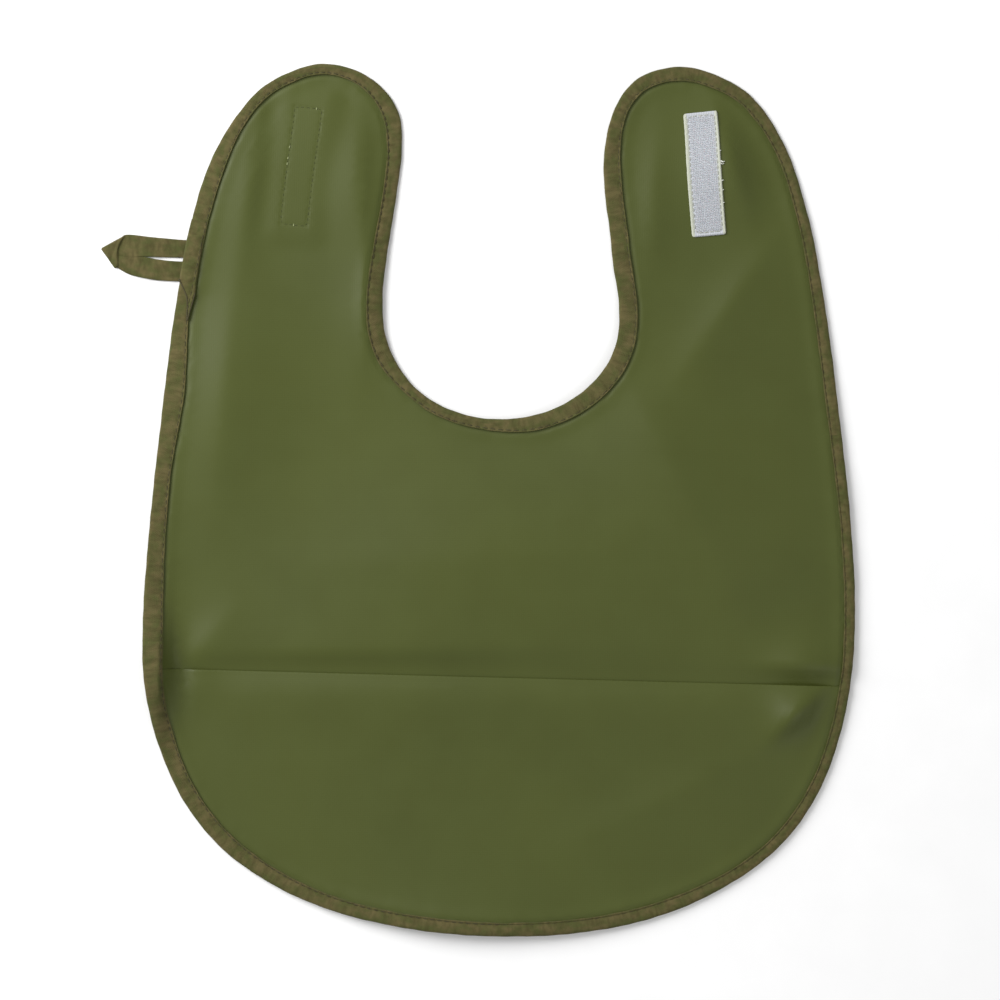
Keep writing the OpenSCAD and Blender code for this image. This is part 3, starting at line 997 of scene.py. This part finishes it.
def loop_knots():
    """Pale knots in front, where the thread of the strip's back is drawn up through the fabric."""
    run = seam_run()
    at = from_strip([run[np.linalg.norm(run - knot, axis=1).argmin()] for knot in KNOTS], "loop")
    t = np.linspace(0, math.pi, 5)
    facing = STRIPS["loop"][1] + math.pi / 2
    paths = np.array([upright(p, facing, -0.42 * np.cos(t), 0.34 * np.sin(t) - 0.1) for p in at])
    return fibres("loop_tape_knots", seat(paths, heights(at, panel_top)), 0.3, 6)


def loop_strip():
    """The loop strip on the back of the left arm, and its stitches on both sides of the fabric."""
    def over(flat):
        return heights(flat, panel_under) - 0.02

    flat, tris, low, top = strip_plate("loop", lambda p: 0 * p[..., 0], LOOP_BASE, 0.1)
    up = over(flat)
    base = sheet("loop_tape_base", flat, tris, np.maximum(up - (top - low), 0.02), up)
    paths = loop_paths() * (1, 1, -1)
    paths = seat(paths, over(paths[:, 0, :2]) - LOOP_BASE + 0.08)
    paths[..., 2] = np.maximum(paths[..., 2], 0.06)
    pile = fibres("loop_tape_pile", paths, 0.055, 3)
    ends = stitch_ends("loop", 0.12)
    front = [np.column_stack([p, heights(p, panel_top)]) for p in ends]
    back = [np.column_stack([p, over(p) - LOOP_BASE + 0.08]) for p in ends]
    seam = stitch_piece("loop_tape_stitches", *front, (0, 0, 1), 0.15, 0.03, 0.2)
    behind = stitch_piece("loop_tape_back_stitches", *back, (0, 0, -1), 0.15, 0.03, 0.2)
    knots = loop_knots()
    settle(base, "left_tip", "loop_tape", "loop_strip")
    settle(pile, "left_tip", "loop_tape", "loop_strip")
    settle(seam, "left_tip", "binding_thread")
    settle(behind, "left_tip", "strip_thread")
    settle(knots, "left_tip", "strip_thread", "loop_strip_stitching")
    return base, pile, seam, behind, knots


# ---------------------------------------------------------------- hanging loop

# Edges of its two legs and its mitred point: distance out from the bib's edge, and up
UPPER_TOP = [(-3, 8.4), (4, 8.9), (14, 9.8), (25.2, 10.9), (28.0, 8.6)]
UPPER_SLIT = [(-3, 0.75), (6, 0.85), (17.6, 1.15), (24, 0.9), (32.0, 2.4)]
LOWER_SLIT = [(-3, -0.9), (4, -0.75), (11, -0.05), (17.6, 1.15), (24, 1.2), (32.0, 2.6)]
LOWER_LOW = [(-3, -9.6), (3.5, -9.6), (11.5, -9.2), (19.4, -7.8), (24.6, -6.3), (30.0, -3.2)]
POINT = [(25.1, 11.0), (28.2, 9.4), (36.0, 5.1), (36.3, 4.4), (33.8, 1.0), (30.9, -3.2), (30.3, -3.9),
         (29.0, -3.6), (28.5, -2.4), (28.9, 1.2), (28.8, 4.6), (27.6, 7.8)]
TAPE_STRIP = 0.62       # thickness of the loop's folded tape
POINT_Z = 0.78          # height of the middle of its point
LEG_PATCH = (0, 60)     # where its legs' patch of the tape's pattern is


def from_hanger(local):
    """Where points that are given as distances out from the loop's middle and up lie."""
    return HANGER + np.asarray(local, float) * (-1, 1)


def leg(name, edge_a, edge_b, rise):
    """One leg of the loop: a flat folded tape between two edges, with round sides, lying a little uneven."""
    rows, cols = 64, 17
    a, b = open_curve(edge_a, rows), open_curve(edge_b, rows)
    s = 0.5 - 0.5 * np.cos(math.pi * np.linspace(0, 1, cols))
    local = a[:, None] * (1 - s[None, :, None]) + b[:, None] * s[None, :, None]
    x, y = local[..., 0], local[..., 1]
    inset = np.minimum(s, 1 - s)[None] * np.linalg.norm(a - b, axis=1)[:, None]
    half = TAPE_STRIP / 2 * (0.25 + 0.75 * rounded(inset / 0.7)) + 0.07 * bell(inset - 0.75, 0.4)
    lift = rise * np.sin(np.clip(x / 30, 0, 1) * math.pi) ** 2
    crumple = 0.16 * np.sin(0.55 * x + 0.8 * y) * np.sin(0.23 * x - 0.5 * y + 1.0)
    crumple += 0.07 * np.sin(1.3 * x - 0.9 * y)
    middle = TAPE_STRIP / 2 + 0.16 + lift + crumple * smooth(0, 6, x)
    sides = (middle + half, np.maximum(middle - half, 0.03))
    verts = np.vstack([np.dstack([from_hanger(local), z]).reshape(-1, 3) for z in sides])
    at = np.arange(rows * cols).reshape(rows, cols)
    quads = np.stack([at[1:, :-1], at[1:, 1:], at[:-1, 1:], at[:-1, :-1]], -1).reshape(-1, 4)
    uv = np.vstack([local.reshape(-1, 2)] * 2) + LEG_PATCH
    return mesh(name, verts, closed(quads, rows * cols), uv=uv)


def loop_point():
    """The mitred point, folded over both legs, with a soft ridge beside its crease."""
    local, tris = filled(POINT, 0.35, 0.45, 0.15)
    x, y = local.T
    body = rounded(inside_by(local, POINT) / 0.6)
    top = POINT_Z + 0.66 * body + 0.2 * bell((x - 28.4) * 0.93 + (y - 5.5) * 0.36, 0.55) * smooth(-1, 3, y)
    top -= 0.26 * bell((x - 30.3) * 0.93 + (y - 5.0) * 0.3, 0.8) * body
    top -= 0.06 * np.sin(1.1 * x - 0.7 * y)
    # from_hanger() mirrors the points, so the triangles are turned over
    return sheet("hanger_tape_point", from_hanger(local), tris[:, ::-1], POINT_Z - 0.7 * body, top)


def hanging_loop():
    """The hanging loop at the bib's edge: its two legs and its mitred point."""
    made = [
        leg("hanger_tape_upper", UPPER_TOP, UPPER_SLIT, 0.5),
        leg("hanger_tape_lower", LOWER_SLIT, LOWER_LOW, 0.3),
        loop_point(),
    ]
    for piece, node in zip(made, ("hanger_upper_leg", "hanger_lower_leg", "hanger_mitre")):
        bend(piece)
        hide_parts(node)
    return made


# ---------------------------------------------------------------- materials

def linear(hex_colour, share=1.0):
    """A colour as light sees it, from its written form, times a share."""
    parts = [int(hex_colour[k : k + 2], 16) / 255 for k in (1, 3, 5)]
    return [share * (p / 12.92 if p <= 0.04045 else ((p + 0.055) / 1.055) ** 2.4) for p in parts]


class Shader:
    """A material's nodes, with short ways to add them. Values are numbers, colours or a node's outputs."""

    def __init__(self, name):
        self.material = bpy.data.materials.new(name)
        self.material.use_nodes = True
        self.tree = self.material.node_tree
        self.surface = self.tree.nodes["Principled BSDF"]
        self.uv = self.add("ShaderNodeUVMap", uv_map="UVMap").outputs["UV"]

    def feed(self, value, socket):
        if isinstance(value, bpy.types.NodeSocket):
            self.tree.links.new(value, socket)
        elif isinstance(value, list):
            socket.default_value = (*value, 1.0)
        else:
            socket.default_value = value

    def add(self, kind, **values):
        """A new node; the values are its settings or its inputs, with _ for each space in an input's name."""
        node = self.tree.nodes.new(kind)
        for key, value in values.items():
            if hasattr(node, key):
                setattr(node, key, value)
            else:
                self.feed(value, node.inputs[key.replace("_", " ")])
        return node

    def place(self, scale=(1, 1, 1), turn=0.0):
        """The surface's own flat coordinates, in metres, turned and scaled."""
        node = self.add("ShaderNodeMapping", Vector=self.uv, Scale=scale, Rotation=(0, 0, turn))
        return node.outputs["Vector"]

    def noise(self, scale, detail=3.0, rough=0.5, stretch=(1, 1, 1)):
        where = self.place(stretch)
        node = self.add("ShaderNodeTexNoise", Vector=where, Scale=scale, Detail=detail, Roughness=rough)
        return node.outputs["Fac"]

    def wave(self, direction, scale, distortion=0.0, turn=0.0):
        """Straight bands across the direction."""
        node = self.add("ShaderNodeTexWave", wave_type="BANDS", bands_direction=direction, wave_profile="SIN",
                        Vector=self.place(turn=turn), Scale=scale, Distortion=distortion, Detail=1.0)
        return node.outputs["Fac"]

    def math(self, kind, a, b=0.0):
        node = self.add("ShaderNodeMath", operation=kind)
        self.feed(a, node.inputs[0])
        self.feed(b, node.inputs[1])
        return node.outputs[0]

    def sum(self, a, share_a, b, share_b):
        return self.math("ADD", self.math("MULTIPLY", a, share_a), self.math("MULTIPLY", b, share_b))

    def ramp(self, fac, low, high):
        """fac spread from low..high to 0..1."""
        return self.add("ShaderNodeMapRange", Value=fac, From_Min=low, From_Max=high).outputs["Result"]

    def mix(self, fac, a, b):
        node = self.add("ShaderNodeMix", data_type="RGBA", Factor=fac)
        self.feed(a, node.inputs[6])     # the two colours; the inputs before them are of other kinds
        self.feed(b, node.inputs[7])
        return node.outputs[2]

    def tint(self, tone, fac, share, colour):
        """The tone, with up to that share of another colour where fac is 1."""
        return self.mix(self.math("MULTIPLY", fac, share), tone, linear(colour))

    def bump(self, height, strength, distance):
        node = self.add("ShaderNodeBump", Strength=strength, Distance=distance, Height=height)
        self.set(Normal=node.outputs["Normal"])

    def set(self, **values):
        """Sets the surface's own inputs, with _ for each space in their names."""
        for key, value in values.items():
            self.feed(value, self.surface.inputs[key.replace("_", " ")])


def coated_fabric():
    """Olive fabric under a thin satin coating: a faint weave, fine grain and slow changes of tone."""
    s = Shader("coated_fabric")
    slow = s.ramp(s.noise(14.0, 2.0), 0.3, 0.7)
    cloudy = s.ramp(s.noise(60.0, 4.0), 0.25, 0.75)
    grain = s.noise(2600.0, 2.0)
    tone = s.mix(slow, linear("#424917"), linear("#474E1A"))
    tone = s.tint(tone, cloudy, 0.3, "#49521F")
    tone = s.tint(tone, s.ramp(grain, 0.35, 0.7), 0.18, "#3A4112")
    weave = s.math("ADD", s.wave("X", 330.0), s.wave("Y", 330.0))
    s.bump(s.sum(weave, 0.3, grain, 0.7), 0.35, 0.00006)
    rough = s.add("ShaderNodeMapRange", Value=cloudy, To_Min=0.48, To_Max=0.54)
    s.set(Base_Color=tone, Roughness=rough.outputs["Result"], Specular_IOR_Level=0.33)
    return s.material


def binding_tape():
    """Brownish olive bias tape: a slanting plain weave, matt, darker in patches, with paler fibres."""
    s = Shader("binding_tape")
    patch = s.ramp(s.noise(150.0, stretch=(1, 1.6, 1)), 0.38, 0.62)
    streak = s.ramp(s.noise(480.0, 3.0, 0.6, (1, 0.4, 1)), 0.4, 0.72)
    fine = s.noise(3200.0, 2.0)
    tone = s.mix(patch, linear("#5B5332"), linear("#474B24"))
    tone = s.tint(tone, streak, 0.7, "#383316")
    tone = s.tint(tone, s.ramp(fine, 0.4, 0.7), 0.25, "#65603B")
    weave = s.math("MULTIPLY", *(s.wave(axis, 520.0, 0.6, math.radians(45)) for axis in "XY"))
    s.bump(s.sum(weave, 0.8, fine, 0.4), 0.6, 0.00012)
    s.set(Base_Color=tone, Roughness=0.86, Specular_IOR_Level=0.2, Sheen_Weight=0.05, Sheen_Roughness=0.5)
    return s.material


def thread_material(name, light, dark):
    """Spun thread: fine slanting plies."""
    s = Shader(name)
    ply = s.wave("X", 900.0, 0.4, math.radians(35))
    s.bump(ply, 0.7, 0.00008)
    s.set(Base_Color=s.mix(s.math("MULTIPLY", ply, 0.6), linear(light), linear(dark)))
    s.set(Roughness=0.75, Specular_IOR_Level=0.3, Sheen_Weight=0.1)
    return s.material


def strip_base(name, light, dark, middle=None):
    """Woven tape with fine ribs along it. Inside its border it may have another colour."""
    s = Shader(name)
    ribs, fine = s.wave("X", 420.0, 0.3), s.noise(2400.0, 2.0)
    tone = s.mix(s.math("MULTIPLY", ribs, 0.5), linear(light), linear(dark))
    if middle:
        across = s.add("ShaderNodeSeparateXYZ", Vector=s.place()).outputs["X"]
        half = STRIP_WIDTH / 2 * MM
        inner = s.ramp(s.math("ABSOLUTE", across), half - 1.1 * MM, half - 1.5 * MM)
        tone = s.mix(inner, tone, linear(middle))
    s.bump(s.math("ADD", ribs, s.math("MULTIPLY", fine, 0.6)), 0.6, 0.00012)
    s.set(Base_Color=tone, Roughness=0.8, Specular_IOR_Level=0.25)
    return s.material


def nylon(name, colour):
    """Stiff, slightly see-through plastic fibre."""
    s = Shader(name)
    shade = s.ramp(s.noise(300.0, 2.0), 0.3, 0.7)
    s.set(Base_Color=s.mix(shade, linear(colour, 0.9), linear(colour, 1.05)), Roughness=0.7)
    s.set(Specular_IOR_Level=0.2, Subsurface_Weight=0.15, Subsurface_Scale=0.0005)
    return s.material


def floor_material():
    """A matt white sheet with the faintest grain."""
    s = Shader("floor")
    grain = s.ramp(s.noise(40.0), 0.2, 0.8)
    s.set(Base_Color=s.mix(grain, [0.9, 0.9, 0.9], [0.93, 0.93, 0.93]), Roughness=0.9, Specular_IOR_Level=0.1)
    return s.material


def paint(pieces, material):
    for piece in pieces:
        piece.data.materials.clear()
        piece.data.materials.append(material)


# ---------------------------------------------------------------- scene

def add_floor():
    size = 12000.0
    verts = np.array([(-size, -size, 0), (size, -size, 0), (size, size, 0), (-size, size, 0)])
    floor = mesh("floor", verts, [(0, 1, 2, 3)], uv=verts[:, :2], shift=False)
    paint([floor], floor_material())


def add_light(name, where, size, power):
    """A round soft light that faces the middle of the bib."""
    lamp = bpy.data.lights.new(name, "AREA")
    lamp.shape = "DISK"
    lamp.size = size
    lamp.energy = power
    holder = bpy.data.objects.new(name, lamp)
    holder.location = where
    holder.rotation_mode = "QUATERNION"
    holder.rotation_quaternion = (-Vector(where)).to_track_quat("-Z", "Y")
    bpy.context.scene.collection.objects.link(holder)


def add_studio():
    world = bpy.data.worlds.new("studio")
    world.use_nodes = True
    background = world.node_tree.nodes["Background"].inputs
    background["Color"].default_value = (1, 1, 1, 1)
    background["Strength"].default_value = 0.55
    bpy.context.scene.world = world
    bpy.context.scene.view_settings.view_transform = "Standard"
    add_light("key", (-0.85, 0.55, 0.72), 0.95, 19)
    add_light("fill", (1.0, -0.9, 1.3), 1.2, 4)


def add_camera():
    """Straight down from above, so that the body fills the frame as it lies."""
    frame_width, height, sensor = 0.44, 1.6, 36.0
    data = bpy.data.cameras.new("camera")
    data.sensor_width = sensor
    data.lens = sensor * height / frame_width
    data.clip_end = 50
    camera = bpy.data.objects.new("camera", data)
    camera.location = (-0.0002, 0.0, height)
    bpy.context.scene.collection.objects.link(camera)
    bpy.context.scene.camera = camera


def declare(piece):
    """Reads the points of a sheet, whose cut lies flat."""
    points = points_of(piece)


def build():
    panels, pouch = main_panel(), pocket()
    bands = [*binding(), end_fold()]
    end_crease_shade = end_fold_crease_shade()
    seams = binding_stitches()
    hook_base, hooks, hook_seam, frays = hook_strip()
    loop_base, pile, loop_seam, loop_back, knots = loop_strip()
    bands += hanging_loop()

    paint([*panels, pouch], coated_fabric())
    paint(bands, binding_tape())
    # the binding's stitches, and the folded end's painted crease shade in the same dark thread
    paint([*seams, end_crease_shade], thread_material("binding_thread", "#413C1E", "#2A2512"))
    paint([loop_seam], thread_material("olive_thread", "#3F451A", "#2C310F"))
    paint([hook_seam], thread_material("strip_thread", "#C0C2B6", "#9B9E8E"))
    paint([frays], thread_material("fray_thread", "#E6E8E0", "#C9CBC0"))
    paint([loop_back, knots], thread_material("loop_thread", "#8D9468", "#727950"))
    paint([hook_base], strip_base("hook_base", "#BCBFB0", "#ACAFA0", "#B9BCC1"))
    paint([hooks], nylon("hooks", "#B1B5BB"))
    paint([loop_base], strip_base("loop_base", "#8C9168", "#7B8058"))
    paint([pile], nylon("pile", "#99A070"))

    for piece in panels:
        declare(piece)
    declare(pouch)
    add_floor()
    add_studio()
    add_camera()


build()
